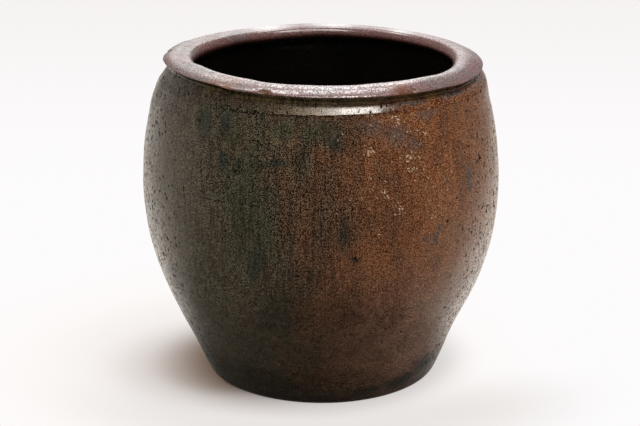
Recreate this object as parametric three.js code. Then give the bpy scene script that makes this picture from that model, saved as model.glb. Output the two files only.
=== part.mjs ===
// A big-bellied stoneware crock, built by hand from a clay slab and squeezed coils.
// The slab is the floor. Each coil is pulled up into a course of wall, and the next course laps
// inside the bevelled top edge of the one below. A last coil, turned on the wheel, makes the
// undercut flat rim. A film of slip lies in every lap, so the pieces meet across a thin gap.
// Millimetres, +Z up, with the origin at the centre of the underside.
import * as THREE from "three";

// Overall form
const HEIGHT = 361; // floor to the crest of the rim
const BELLY_DIAMETER = 397.4;
const BELLY_HEIGHT = 218; // floor to the widest place
const LOWER_CURVE_RADIUS = 306; // the wall's curve below the belly
const UPPER_CURVE_RADIUS = 357; // the wall's curve above the belly
const FLARE_ANGLE = THREE.MathUtils.degToRad(25.1); // lean of the straight wall near the foot

// Thicknesses
const WALL = 12;
const FLOOR = 15;
const FOOT_EDGE_ROUNDING = 5;
const CORNER_COIL_SIZE = 17; // leg of the fillet where floor and wall meet

// Rim, built out from the shoulder
const LEDGE_WIDTH = 14; // the wiped ledge, from the shoulder in to the bottom of the undercut
const LEDGE_DROP = 9;
const UNDERCUT_HEIGHT = 6.5;
const LIP_OVERHANG = 10.5; // from the bottom of the undercut out to the lip's edge
const LIP_THICKNESS = 5.4;
const LIP_ROUNDING = 2.4;
const RIM_WIDTH = 31; // from the lip's edge in to the mouth
const RIM_FALL = 3.4; // how far the flat top drops from its crest to the lip
const MOUTH_ROUNDING = 9; // the roll from the flat top down into the mouth

// Laps between the courses
const LAP = 12; // how much lower a lap is on the inside than on the outside
const SLIP_FILM = 0.4; // height of the gap that the slip fills
const FOOT_SEAM = 52; // heights of the outside seams
const LOWER_SEAM = 147;
const BELLY_SEAM = 242;

// Facets
const ROUND_STEPS = 64;
const COURSE_STEPS = 4;
const CURVE_STEPS = 4;

// Heights along the rim
const lipTop = HEIGHT - RIM_FALL;
const lipUnderside = lipTop - LIP_THICKNESS;
const undercutFloor = lipUnderside - UNDERCUT_HEIGHT;
const shoulderSeam = undercutFloor - LEDGE_DROP;

// Radius of the wall at a height: a straight flare from the foot, then an arc up to the belly and
// another over it. An inset of WALL gives the inside, which runs parallel to the outside.
function wallRadius(z, inset = 0) {
  const belly = BELLY_DIAMETER / 2 - inset;
  const lower = LOWER_CURVE_RADIUS - inset;
  const upper = UPPER_CURVE_RADIUS - inset;
  const rise = z - BELLY_HEIGHT;
  if (rise >= 0) return belly - upper + Math.sqrt(upper ** 2 - rise ** 2);
  const flareTop = -lower * Math.sin(FLARE_ANGLE);
  if (rise >= flareTop) return belly - lower + Math.sqrt(lower ** 2 - rise ** 2);
  const flareTopRadius = belly - lower + lower * Math.cos(FLARE_ANGLE);
  return flareTopRadius - (flareTop - rise) * Math.tan(FLARE_ANGLE);
}

// Points of the wall between two heights, on the outside or at an inset.
function wallPoints(fromZ, toZ, inset = 0, steps = COURSE_STEPS) {
  return Array.from({ length: steps + 1 }, (_, i) => {
    const z = THREE.MathUtils.lerp(fromZ, toZ, i / steps);
    return new THREE.Vector2(wallRadius(z, inset), z);
  });
}

// Turns a section round the upright axis. The section runs up the outside and down the inside.
function turned(name, section, color, roughness) {
  const touchesAxis = section[0].x === 0;
  const outline = touchesAxis ? section : [...section, section[0]];
  const geometry = new THREE.LatheGeometry(outline, ROUND_STEPS);
  const material = new THREE.MeshStandardMaterial({ color, roughness, metalness: 0 });
  const mesh = new THREE.Mesh(geometry, material);
  mesh.name = name;
  return mesh;
}

// The slab that the crock stands on. Its rounded edge carries on the line of the wall.
function floorSection() {
  const edge = new THREE.Path();
  edge.moveTo(0, 0);
  edge.lineTo(wallRadius(0) - FOOT_EDGE_ROUNDING, 0);
  edge.quadraticCurveTo(wallRadius(0), 0, wallRadius(FOOT_EDGE_ROUNDING), FOOT_EDGE_ROUNDING);
  edge.lineTo(wallRadius(FLOOR), FLOOR);
  edge.lineTo(0, FLOOR);
  return edge.getPoints(CURVE_STEPS);
}

// A thin coil pressed into the inside corner, hollowed by the thumb that smoothed it.
function cornerCoilSection() {
  const bottom = FLOOR + SLIP_FILM;
  const top = bottom + CORNER_COIL_SIZE;
  const inset = WALL + SLIP_FILM;
  const toe = wallRadius(bottom, inset) - CORNER_COIL_SIZE;
  const coil = new THREE.Path();
  coil.moveTo(toe, bottom);
  coil.lineTo(wallRadius(bottom, inset), bottom);
  coil.lineTo(wallRadius(top, inset), top);
  coil.quadraticCurveTo(wallRadius(bottom, inset), bottom + SLIP_FILM, toe, bottom);
  return coil.getPoints(CURVE_STEPS).slice(0, -1);
}

// One course of wall between two outside seams. Both laps fall by LAP towards the inside.
function courseSection(bottomSeam, topSeam) {
  return [
    ...wallPoints(bottomSeam + SLIP_FILM, topSeam),
    ...wallPoints(topSeam - LAP, bottomSeam - LAP + SLIP_FILM, WALL),
  ];
}

// The first course stands square on the slab and ends in a lap.
function footCourseSection() {
  const bottom = FLOOR + SLIP_FILM;
  return [...wallPoints(bottom, FOOT_SEAM), ...wallPoints(FOOT_SEAM - LAP, bottom, WALL)];
}

// The turned rim: wiped ledge, undercut, overhanging lip, flat top that falls outwards, and a
// rounded mouth that sweeps back out to the inside of the shoulder.
function rimSection() {
  const seam = shoulderSeam + SLIP_FILM;
  const insideSeam = seam - LAP;
  const undercutRadius = wallRadius(seam) - LEDGE_WIDTH;
  const rimRadius = undercutRadius + LIP_OVERHANG;
  const mouthRadius = rimRadius - RIM_WIDTH;
  const undercutMiddle = undercutFloor + UNDERCUT_HEIGHT / 2;
  const ledgeInnerRadius = undercutRadius + UNDERCUT_HEIGHT / 2;
  const neckBottom = HEIGHT - MOUTH_ROUNDING;
  const sweepTop = insideSeam + LAP;
  const rim = new THREE.Path();
  rim.moveTo(wallRadius(seam), seam);
  rim.quadraticCurveTo(wallRadius(seam), undercutFloor, ledgeInnerRadius, undercutFloor);
  rim.quadraticCurveTo(undercutRadius, undercutFloor, undercutRadius, undercutMiddle);
  rim.quadraticCurveTo(undercutRadius, lipUnderside, ledgeInnerRadius, lipUnderside);
  rim.lineTo(rimRadius - LIP_ROUNDING, lipUnderside);
  rim.quadraticCurveTo(rimRadius, lipUnderside, rimRadius, lipUnderside + LIP_ROUNDING);
  rim.lineTo(rimRadius, lipTop - LIP_ROUNDING);
  rim.quadraticCurveTo(rimRadius, lipTop, rimRadius - LIP_ROUNDING, lipTop);
  rim.lineTo(mouthRadius + MOUTH_ROUNDING, HEIGHT);
  rim.quadraticCurveTo(mouthRadius, HEIGHT, mouthRadius, neckBottom);
  rim.bezierCurveTo(
    mouthRadius, sweepTop,
    wallRadius(sweepTop, WALL), sweepTop,
    wallRadius(insideSeam, WALL), insideSeam,
  );
  return rim.getPoints(CURVE_STEPS);
}

const GLAZE_ROUGHNESS = 0.4;
const CLAY_ROUGHNESS = 0.8;
const ASH_BROWN = 0x4a3a2b;
const RUST_BROWN = 0x6b4128;
const RIM_MAUVE = 0x7a5f58;
const INSIDE_BLACK = 0x17130f;
const BARE_CLAY = 0x5e4237;

// LatheGeometry turns about Y, so the wheel tips the whole crock upright onto Z.
const wheel = new THREE.Group();
wheel.rotation.x = Math.PI / 2;
wheel.add(
  turned("floor_slab", floorSection(), BARE_CLAY, CLAY_ROUGHNESS),
  turned("corner_coil", cornerCoilSection(), INSIDE_BLACK, GLAZE_ROUGHNESS),
  turned("foot_course", footCourseSection(), ASH_BROWN, GLAZE_ROUGHNESS),
  turned("lower_wall_course", courseSection(FOOT_SEAM, LOWER_SEAM), ASH_BROWN, GLAZE_ROUGHNESS),
  turned("belly_course", courseSection(LOWER_SEAM, BELLY_SEAM), RUST_BROWN, GLAZE_ROUGHNESS),
  turned("shoulder_course", courseSection(BELLY_SEAM, shoulderSeam), RUST_BROWN, GLAZE_ROUGHNESS),
  turned("rim_coil", rimSection(), RIM_MAUVE, GLAZE_ROUGHNESS),
);

const crock = new THREE.Group();
crock.add(wheel);
export default crock;
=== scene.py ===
# %% [markdown]
# # A hand-built stoneware crock
#
# This lesson dresses a big-bellied storage crock. A potter builds such a crock from a round slab of
# clay and thick coils, beats the wall thin with a grooved paddle, turns a flat rim on the wheel,
# pours a wood-ash glaze over it and fires it in a kiln full of flying ash.
#
# The frame holds the crock's separate clay pieces at their real size. Here each piece gets its fired
# skin: the beaten, pitted wall, the runs of glaze and the wiped rim.

# %% Load the frame
import math
import random

import bpy
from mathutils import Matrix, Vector, kdtree


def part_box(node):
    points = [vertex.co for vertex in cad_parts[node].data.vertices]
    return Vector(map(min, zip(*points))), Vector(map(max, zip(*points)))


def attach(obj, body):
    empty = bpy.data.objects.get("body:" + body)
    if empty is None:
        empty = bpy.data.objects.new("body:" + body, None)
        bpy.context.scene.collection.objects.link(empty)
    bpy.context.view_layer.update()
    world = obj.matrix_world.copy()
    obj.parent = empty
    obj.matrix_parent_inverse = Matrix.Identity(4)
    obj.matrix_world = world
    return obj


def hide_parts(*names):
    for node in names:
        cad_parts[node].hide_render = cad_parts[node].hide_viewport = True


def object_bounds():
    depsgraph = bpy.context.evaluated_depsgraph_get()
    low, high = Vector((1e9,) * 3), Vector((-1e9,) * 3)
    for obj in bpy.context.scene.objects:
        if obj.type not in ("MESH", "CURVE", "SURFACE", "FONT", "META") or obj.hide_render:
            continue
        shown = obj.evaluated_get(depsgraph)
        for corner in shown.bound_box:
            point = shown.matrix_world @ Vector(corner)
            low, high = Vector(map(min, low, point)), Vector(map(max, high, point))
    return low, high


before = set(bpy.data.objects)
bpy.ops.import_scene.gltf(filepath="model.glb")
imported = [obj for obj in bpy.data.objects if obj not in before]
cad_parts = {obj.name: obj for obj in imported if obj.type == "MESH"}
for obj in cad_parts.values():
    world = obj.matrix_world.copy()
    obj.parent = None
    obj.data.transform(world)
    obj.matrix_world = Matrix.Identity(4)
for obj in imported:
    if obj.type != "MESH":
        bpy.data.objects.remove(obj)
cad_low, cad_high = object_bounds()
print("clay pieces in the frame:", ", ".join(sorted(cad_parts)))

# %% [markdown]
# ## Sizes
#
# The heights of the seams between the coil courses come from the frame, so the skin always fits the
# pieces. The wall is a straight flare from the foot, then one arc up to the belly and another over
# it. One short formula gives its radius at any height, outside or inside, which beats a long list of
# points: change one value and the whole wall follows.

# %% Read the courses' heights and describe the wall
MM = 0.001
FLOOR_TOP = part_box("floor_slab")[1].z
FOOT_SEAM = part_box("foot_course")[1].z
LOWER_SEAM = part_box("lower_wall_course")[1].z
BELLY_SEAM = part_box("belly_course")[1].z
SHOULDER_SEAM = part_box("shoulder_course")[1].z
RIM_LAP = 1.3 * MM
RIM_SEAM = SHOULDER_SEAM - RIM_LAP
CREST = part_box("rim_coil")[1].z
COIL_TOE = -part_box("corner_coil")[0].x
COIL_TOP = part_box("corner_coil")[1].z
LUMP_ROOM = 0.7 * MM
BELLY_RADIUS = cad_high.x - LUMP_ROOM
BELLY_HEIGHT = 218 * MM
LOWER_CURVE = 306 * MM
UPPER_CURVE = 357 * MM
FLARE = math.radians(25.1)
WALL = 12 * MM
LAP = 12 * MM


def wall_radius(height, inset=0.0):
    """Radius of the wall's outside at a height, or of a line that runs inside it."""
    belly = BELLY_RADIUS - inset
    lower = LOWER_CURVE - inset
    upper = UPPER_CURVE - inset
    rise = height - BELLY_HEIGHT
    if rise >= 0:
        return belly - upper + math.sqrt(upper**2 - rise**2)
    flare_top = -lower * math.sin(FLARE)
    if rise >= flare_top:
        return belly - lower + math.sqrt(lower**2 - rise**2)
    return belly - lower + lower * math.cos(FLARE) - (flare_top - rise) * math.tan(FLARE)


print(f"wall: {wall_radius(0):.3f} m at the foot, {BELLY_RADIUS:.3f} m at the belly")

# %% [markdown]
# ## Turning the bands
#
# A pot is a turned form, so its skin is spun from half of its section. Each clay piece owns a band or
# two of that skin: the outside of a course and its inside. A band starts as a plane merged to one
# point, which is extruded from place to place along the section and then spun right round.
#
# The bands carry a plain label material with the piece's name. It survives joining and subdividing,
# so later the skin can be taken apart again exactly along the seams.

# %% A helper that turns one band
ROUND_STEPS = 192
PIECES = {
    "slab_foot": "floor_slab",
    "inside_corner": "corner_coil",
    "foot_wall": "foot_course",
    "lower_wall": "lower_wall_course",
    "belly_wall": "belly_course",
    "shoulder_wall": "shoulder_course",
    "turned_rim": "rim_coil",
}
labels = {piece: bpy.data.materials.new(piece) for piece in PIECES}
bands = []


def set_mode(mode):
    bpy.ops.object.mode_set(mode=mode)


def pick(*objects):
    """Selects some objects and makes the first of them active."""
    bpy.ops.object.select_all(action="DESELECT")
    for item in objects:
        item.select_set(True)
    bpy.context.view_layer.objects.active = objects[0]


def turn_band(piece, section):
    """Extrudes a point along (radius, height) places and spins the line into a band."""
    bpy.ops.object.select_all(action="DESELECT")
    bpy.ops.mesh.primitive_plane_add(size=MM, location=(0, 0, 0))
    band = bpy.context.object
    band.data.materials.append(labels[piece])
    set_mode("EDIT")
    bpy.ops.mesh.merge(type="CENTER")
    radius, height = section[0]
    bpy.ops.transform.translate(value=(radius, 0, height))
    for next_radius, next_height in section[1:]:
        step = (next_radius - radius, 0, next_height - height)
        bpy.ops.mesh.extrude_region_move(TRANSFORM_OT_translate={"value": step})
        radius, height = next_radius, next_height
    bpy.ops.mesh.select_all(action="SELECT")
    bpy.ops.mesh.spin(steps=ROUND_STEPS, angle=math.tau, center=(0, 0, 0), axis=(0, 0, 1))
    set_mode("OBJECT")
    bands.append(band)
    print(f"{piece}: a band of {len(section)} rings")


# %% Sections of wall, with close rings at the seams
OUTSIDE_STEP = 6 * MM
INSIDE_STEP = 24 * MM
SEAM_EDGE = 0.5 * MM


def wall_run(start, stop, inset=0.0):
    """Places up or down the wall. A close ring at each end keeps the shading whole at a seam."""
    step = INSIDE_STEP if inset else OUTSIDE_STEP
    count = max(2, round(abs(stop - start) / step))
    heights = [start + (stop - start) * i / count for i in range(count + 1)]
    edge = math.copysign(SEAM_EDGE, stop - start)
    heights.insert(1, start + edge)
    heights.insert(-1, stop - edge)
    return [(wall_radius(height, inset), height) for height in heights]


def bend(start, corner, end, steps):
    """Places along a curve from start to end that is drawn towards a corner, without its start."""
    places = []
    for i in range(1, steps + 1):
        t = i / steps
        shares = ((1 - t) ** 2, 2 * t * (1 - t), t**2)
        places.append(tuple(sum(s * p[k] for s, p in zip(shares, (start, corner, end))) for k in (0, 1)))
    return places


# %% Turn the foot and the four courses of wall
EDGE_ROUNDING = 5 * MM
PLUG = 12 * MM
FLAT_RINGS = (PLUG, 40 * MM, 80 * MM, 110 * MM)
flat_edge = (wall_radius(0) - EDGE_ROUNDING, 0)
edge_top = (wall_radius(EDGE_ROUNDING), EDGE_ROUNDING)
underside = [(radius, 0) for radius in FLAT_RINGS] + [(flat_edge[0] - MM, 0), flat_edge]
underside += bend(flat_edge, (wall_radius(0), 0), edge_top, 3)
turn_band("slab_foot", underside + wall_run(EDGE_ROUNDING, FLOOR_TOP)[1:])

SEAMS = [FLOOR_TOP, FOOT_SEAM, LOWER_SEAM, BELLY_SEAM, RIM_SEAM]
COURSES = ["foot_wall", "lower_wall", "belly_wall", "shoulder_wall"]
for course, bottom, top in zip(COURSES, SEAMS, SEAMS[1:]):
    turn_band(course, wall_run(bottom, top))
    inside_bottom = COIL_TOP if course == "foot_wall" else bottom - LAP
    turn_band(course, wall_run(top - LAP, inside_bottom, WALL))

# %% Turn the inside corner and the inside of the floor
coil_top = (wall_radius(COIL_TOP, WALL), COIL_TOP)
coil_toe = (COIL_TOE, FLOOR_TOP)
coil_corner = (wall_radius(FLOOR_TOP, WALL), FLOOR_TOP)
turn_band("inside_corner", [coil_top] + bend(coil_top, coil_corner, coil_toe, 6))
INSIDE_RINGS = (COIL_TOE - MM, 70 * MM, 35 * MM, PLUG)
turn_band("slab_foot", [coil_toe] + [(radius, FLOOR_TOP) for radius in INSIDE_RINGS])

# %% [markdown]
# The rim is the potter's finest work. A flat wiped ledge slopes up from the shoulder, a bead stands in
# the undercut, and a lip overhangs it: its edge is thin, because its underside is cut back. The top
# climbs inwards to a crest and rolls down into the mouth. All of that is one section.

# %% Turn the rim
def from_shoulder(*places):
    """Places in millimetres: out from the shoulder's edge, and below the crest."""
    return [(shoulder + out * MM, CREST - below * MM) for out, below in places]


MOUTH_ROLL = 12 * MM
shoulder = wall_radius(RIM_SEAM)
mouth = shoulder - 37 * MM
ledge = from_shoulder(
    (0, 25.6), (-0.7, 25.4), (0.75, 25.2), (0.9, 25.0), (-2.2, 22.0), (-7.8, 16.5), (-9.4, 16.0)
)
bead = from_shoulder((-9.6, 15.6), (-9.2, 14.4), (-9.9, 13.2))
undercut = from_shoulder((-11.5, 12.2), (-11.8, 11.2), (-10.8, 10.2), (-8.8, 9.7))
lip = from_shoulder((-7.2, 9.6), (-5.8, 8.9), (-4.4, 8.1), (-3.55, 7.7), (-3.65, 7.2))
flat_top = from_shoulder((-4.7, 6.2), (-5.3, 5.85), (-11.5, 2.9), (-18.5, 0.9), (-25.5, 0))
groove = undercut[1][0]
roll_end = (mouth, CREST - MOUTH_ROLL)
inside_seam = RIM_SEAM - LAP
inside_top = (wall_radius(RIM_SEAM, WALL), RIM_SEAM)
sweep_corner = (mouth, (RIM_SEAM + CREST) / 2 - MOUTH_ROLL / 2)
roll = bend(flat_top[-1], (mouth, CREST), roll_end, 4) + bend(roll_end, sweep_corner, inside_top, 2)
inside_end = [(wall_radius(height, WALL), height) for height in (inside_seam + SEAM_EDGE, inside_seam)]
turn_band("turned_rim", ledge + bead + undercut + lip + flat_top + roll + inside_end)

# %% [markdown]
# ## One skin, shaped by hand
#
# Joined and merged, the bands make one closed skin. Now it stops being a perfect lathe form: soft
# drags with proportional editing shift, tilt and pinch the rim, as on any pot lifted off a slow wheel,
# press the hollow where the first coil was joined, and knock four chips off the lip. Doing this on the
# light cage, before it is subdivided, is how a modeller works by hand, and it moves the inside as well.
#
# Before that, every point notes its radius and height as thrown in an attribute. The glazes read it
# later, so that the colours of the rim follow its lines even where the rim is tilted.

# %% Join the bands into one skin
pick(*bands)
bpy.ops.object.join()
pot = bpy.context.object
pot.name = "pot_skin"
set_mode("EDIT")
bpy.ops.mesh.select_all(action="SELECT")
bpy.ops.mesh.remove_doubles(threshold=0.01 * MM)
bpy.ops.mesh.normals_make_consistent(inside=False)
set_mode("OBJECT")
thrown = pot.data.attributes.new("thrown", "FLOAT_VECTOR", "POINT")
for vertex, note in zip(pot.data.vertices, thrown.data):
    note.vector = (math.hypot(vertex.co.x, vertex.co.y), 0, vertex.co.z)
print(f"cage: {len(pot.data.vertices)} points, {len(pot.data.polygons)} faces")

# %% Helpers that drag the cage by hand
SOFTLY = {"use_proportional_edit": True, "proportional_edit_falloff": "SMOOTH"}
bpy.context.tool_settings.mesh_select_mode = (True, False, False)


def on_wall(turn, height):
    """The place on the wall at an angle from the front, in degrees to the right, and a height."""
    radius = wall_radius(height)
    angle = math.radians(turn)
    return Vector((radius * math.sin(angle), -radius * math.cos(angle), height))


def turn_of(place):
    return math.degrees(math.atan2(place.x, -place.y))


def radius_of(place):
    return math.hypot(place.x, place.y)


def choose(chosen):
    """Selects the cage's points for which chosen is true, and stays in edit mode."""
    set_mode("EDIT")
    bpy.ops.mesh.select_all(action="DESELECT")
    set_mode("OBJECT")
    for vertex in pot.data.vertices:
        vertex.select = chosen(vertex.co)
    set_mode("EDIT")


def drag(chosen, move, reach):
    """Moves the chosen points, and what lies within reach follows softly."""
    choose(chosen)
    bpy.ops.transform.translate(value=move, proportional_size=reach, **SOFTLY)
    set_mode("OBJECT")


def press(turn, height, spread, depth, reach):
    """Presses the wall in by a depth, or out by a negative one, around a place."""
    middle = on_wall(turn, height)
    outward = Vector((middle.x, middle.y, 0)).normalized()
    drag(lambda co: (co - middle).length < spread, -outward * depth, reach)


# %% Smooth the ledge's ends, raise the bead on the left and tip the rim's top
RIM_TIP = math.radians(-1.1)
BEAD_RISE = 2.6 * MM
LEDGE_WAVE = 0.45 * MM


def is_ledge(co):
    return co.z > RIM_SEAM - MM and co.z < CREST - 16 * MM and radius_of(co) > shoulder - 10 * MM


for edge_turn, repeats in ((22, 4), (32, 8)):
    choose(lambda co: is_ledge(co) and abs(turn_of(co)) > edge_turn)
    bpy.ops.mesh.vertices_smooth(factor=0.5, repeat=repeats)
    set_mode("OBJECT")
choose(lambda co: is_ledge(co) and abs(turn_of(co)) < 32 and radius_of(co) > shoulder - 1.5 * MM)
bpy.ops.transform.vertex_random(offset=LEDGE_WAVE, uniform=0.2, normal=0.0, seed=4)
set_mode("OBJECT")
drag(
    lambda co: 13 * MM < CREST - co.z < 17 * MM and radius_of(co) > shoulder - 11 * MM
    and -115 < turn_of(co) < -38,
    (0, 0, BEAD_RISE), 14 * MM,
)
choose(lambda co: co.z > CREST - 11.5 * MM)
bpy.ops.transform.rotate(
    value=RIM_TIP, orient_axis="Y", center_override=(0, 0, CREST - 6 * MM),
    proportional_size=12 * MM, **SOFTLY,
)
set_mode("OBJECT")

# %% Dip the far side of the mouth
MOUTH_DIP = math.radians(0.55)
MOUTH_RISE = math.radians(0.4)
choose(lambda co: co.z > CREST - 14 * MM and radius_of(co) < shoulder - 15 * MM)
for axis, angle in (("X", MOUTH_DIP), ("Y", MOUTH_RISE)):
    bpy.ops.transform.rotate(
        value=angle, orient_axis=axis, center_override=(0, -mouth, CREST),
        proportional_size=11 * MM, **SOFTLY,
    )
set_mode("OBJECT")
far_crest = max(v.co.z for v in pot.data.vertices if v.co.y > 0.9 * mouth)
print(f"crest at the back: {far_crest:.4f} m")

# %% Chip the lip
CHIPS = ((30, 2.8, 1.9 * MM), (-19.5, 2.4, 2.2 * MM), (-96, 1.5, 1.2 * MM), (148, 1.5, 1.3 * MM))
for turn, half_width, depth in CHIPS:
    angle = math.radians(turn)
    inwards = (-depth * math.sin(angle), depth * math.cos(angle), -0.5 * depth)
    drag(
        lambda co: abs(turn_of(co) - turn) < half_width and radius_of(co) > shoulder - 6 * MM
        and co.z > CREST - 12 * MM,
        inwards, 8 * MM,
    )
print(f"{len(CHIPS)} chips off the lip")

# %% Shift, tilt and pinch the rim, press the hollow
RIM_SHIFT = 2.3 * MM
RIGHT_DROP = 1.6 * MM
FAR_LEFT_DROP = 2.4 * MM
CREST_DROP = 0.9 * MM
MOUTH_PINCH = 4.5 * MM
PINCH_TURN = math.radians(-47)
FOOT_SHIFT = (1.2 * MM, -5.5 * MM, 0)
drag(lambda co: co.z < 18 * MM, FOOT_SHIFT, 42 * MM)
drag(lambda co: co.z > RIM_SEAM, (RIM_SHIFT, 0, 0), 26 * MM)
drag(lambda co: co.z > RIM_SEAM and 58 < turn_of(co) < 74, (0, 0, -RIGHT_DROP), 40 * MM)
drag(lambda co: co.z > RIM_SEAM and -150 < turn_of(co) < -100, (0, 0, -FAR_LEFT_DROP), 90 * MM)
drag(lambda co: co.z > CREST - 0.4 * MM, (0, 0, -CREST_DROP), 14 * MM)
drag(
    lambda co: co.z > CREST - 16 * MM and radius_of(co) < mouth + 10 * MM and -62 < turn_of(co) < -32,
    (-MOUTH_PINCH * math.sin(PINCH_TURN), MOUTH_PINCH * math.cos(PINCH_TURN), 0), 30 * MM,
)
press(84, 54 * MM, 14 * MM, 0.8 * MM, 30 * MM)
press(-84, 42 * MM, 14 * MM, 2.2 * MM, 34 * MM)
press(-82, 330 * MM, 14 * MM, -2 * MM, 24 * MM)
left_edge = max(v.co.z for v in pot.data.vertices if v.co.x < -(shoulder - 6 * MM))
right_edge = max(v.co.z for v in pot.data.vertices if v.co.x > shoulder - 6 * MM)
print(f"lip: {left_edge:.4f} m high on the left, {right_edge:.4f} m on the right")

# %% [markdown]
# ## Beaten and uneven clay
#
# The skin is subdivided to rings about a millimetre and a half apart. Displace modifiers with soft
# cloud textures then leave what hands leave: long swells, and the shallow flats of the paddle. A
# vertex group says how much each part may move: the wall fully, the turned rim little, and the
# underside not at all, because it stands on the floor.

# %% Say how much each part may move
LOOSE = "loose clay"
loose = pot.vertex_groups.new(name=LOOSE)
RIM_LOOSENESS = 0.25
FOOT_FIRM = 6 * MM
by_share = {}
for vertex in pot.data.vertices:
    share = min(1.0, max(0.0, (vertex.co.z - FOOT_FIRM) / FOOT_FIRM))
    if vertex.co.z > RIM_SEAM:
        share = RIM_LOOSENESS
    by_share.setdefault(round(share, 2), []).append(vertex.index)
for share, indices in by_share.items():
    loose.add(indices, share, "REPLACE")

# %% Subdivide and leave the marks of the hands
bpy.context.view_layer.objects.active = pot


def finish_with(kind, **settings):
    """Adds a modifier to the pot and applies it at once."""
    bpy.ops.object.modifier_add(type=kind)
    modifier = pot.modifiers[-1]
    for name, value in settings.items():
        setattr(modifier, name, value)
    bpy.ops.object.modifier_apply(modifier=modifier.name)


def clay_noise(name, size, depth):
    texture = bpy.data.textures.new(name, "CLOUDS")
    texture.noise_scale = size
    texture.noise_depth = depth
    return texture


finish_with("SUBSURF", levels=2, render_levels=2)
for name, size, depth, strength in (
    ("long swells", 120 * MM, 0, 1.3 * MM),
    ("paddle flats", 34 * MM, 0, 0.7 * MM),
    ("clay grain", 9 * MM, 1, 0.2 * MM),
):
    finish_with(
        "DISPLACE", texture=clay_noise(name, size, depth), texture_coords="LOCAL",
        strength=strength, mid_level=0.5, vertex_group=LOOSE,
    )
print(f"skin: {len(pot.data.polygons)} faces")

# %% [markdown]
# ## Grit and pits
#
# Bits of kiln grit stuck to the hot shoulder, and gas burst through the glaze, most of all on the two
# sides. These are real bumps and holes, so they go into the mesh. A seeded draw picks places, a k-d
# tree finds the skin's nearest points, and a Displace modifier without a texture pulls the grit out
# and presses the pits in. An attribute notes the points, so that the glaze can colour them as well.

# %% Draw the places
SEED = 11
GRIT_PER_CLUSTER = 11
GRIT_CLUSTERS = (
    (28.7, 290), (29.1, 276), (22.7, 333), (23.8, 235), (19, 255), (25, 322), (15, 300), (33, 310)
)
DOUBLE_SHARE = 0.5
DOUBLE_RISE = 1.6 * MM
draw = random.Random(SEED)


def scatter(count, turns, heights):
    return [(draw.uniform(*turns), draw.uniform(*heights) * MM) for _ in range(count)]


grit = [
    (draw.gauss(turn, 1.1), draw.gauss(height, 3.8) * MM)
    for turn, height in GRIT_CLUSTERS for _ in range(GRIT_PER_CLUSTER)
]
grit += [(draw.gauss(25, 13), min(draw.gauss(285, 30), 334) * MM) for _ in range(60)]
grit += [(draw.gauss(8, 8), draw.gauss(18, 7) * MM) for _ in range(60)]
pits = scatter(240, (54, 90), (60, 334)) + scatter(90, (-90, -54), (70, 334))
pits += scatter(50, (-54, 54), (40, 334)) + scatter(220, (90, 270), (30, 334))
pits += [(66.9, 150 * MM), (70.7, 95 * MM), (10.5, 188 * MM), (-56.5, 180 * MM), (-43, 318 * MM)]
pits += [(turn, height + DOUBLE_RISE) for turn, height in pits if draw.random() < DOUBLE_SHARE]
print(f"{len(grit)} bits of grit and {len(pits)} pits")

# %% Pull out the grit and press in the pits
finder = kdtree.KDTree(len(pot.data.vertices))
for vertex in pot.data.vertices:
    finder.insert(vertex.co, vertex.index)
finder.balance()


def mark(name, places, strength):
    """Moves the skin's points nearest to some places, and notes them in an attribute."""
    group = pot.vertex_groups.new(name=name + " points")
    notes = [0.0] * len(pot.data.vertices)
    for turn, height in places:
        point = finder.find(on_wall(turn, height))[1]
        notes[point] = draw.uniform(0.4, 1.0)
        group.add([point], notes[point], "REPLACE")
    pot.data.attributes.new(name, "FLOAT", "POINT").data.foreach_set("value", notes)
    finish_with("DISPLACE", strength=strength, mid_level=0.0, vertex_group=group.name)


mark("grit", grit, 0.7 * MM)
mark("pits", pits, -1.3 * MM)

# %% [markdown]
# ## Back into clay pieces
#
# The skin is now separated by its label materials into one object for each clay piece. A course has
# an outside and an inside band, so its open edges are bridged top and bottom: those bridges are the
# bevelled laps where it is luted to its neighbours.

# %% Separate the skin by its labels
pick(pot)
set_mode("EDIT")
bpy.ops.mesh.separate(type="MATERIAL")
set_mode("OBJECT")
parts = {}
for part in list(bpy.context.selected_objects):
    piece = part.data.materials[part.data.polygons[0].material_index].name
    part.name = piece
    part.vertex_groups.clear()
    parts[piece] = part
print("separated:", ", ".join(f"{name} {len(part.data.polygons)}" for name, part in parts.items()))

# %% Give the pieces their finish slots
OUTSIDE, INSIDE, RAW, UNDER_LIP = range(4)
LIP_LINE = CREST - 8.6 * MM
ROLL_DEPTH = 17 * MM
FINISH_NAMES = ("ash_glaze", "rim_glaze", "black_glaze", "raw_clay")
finishes = {name: bpy.data.materials.new(name) for name in FINISH_NAMES}


def set_slots(part, outside):
    part.data.materials.clear()
    for material in (outside, finishes["black_glaze"], finishes["raw_clay"], finishes["ash_glaze"]):
        part.data.materials.append(material)


for piece, part in parts.items():
    set_slots(part, finishes["rim_glaze" if piece == "turned_rim" else "ash_glaze"])
    for face in part.data.polygons:
        if piece == "turned_rim":
            outward = face.normal.x * face.center.x + face.normal.y * face.center.y
            inner = outward < 0 and face.center.z < CREST - ROLL_DEPTH
            notes = [part.data.attributes["thrown"].data[index].vector for index in face.vertices]
            under_lip = notes[0].x > groove - 3 * MM and sum(note.z for note in notes) / len(notes) < LIP_LINE
        else:
            inner = radius_of(face.center) < wall_radius(face.center.z, WALL / 2) and face.normal.z > -0.9
            under_lip = False
        face.material_index = INSIDE if inner else UNDER_LIP if under_lip else OUTSIDE

# %% Helpers that close an open edge
HALF_BAND = 5 * MM


def open_part(part):
    pick(part)
    part.active_material_index = RAW
    set_mode("EDIT")


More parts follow.
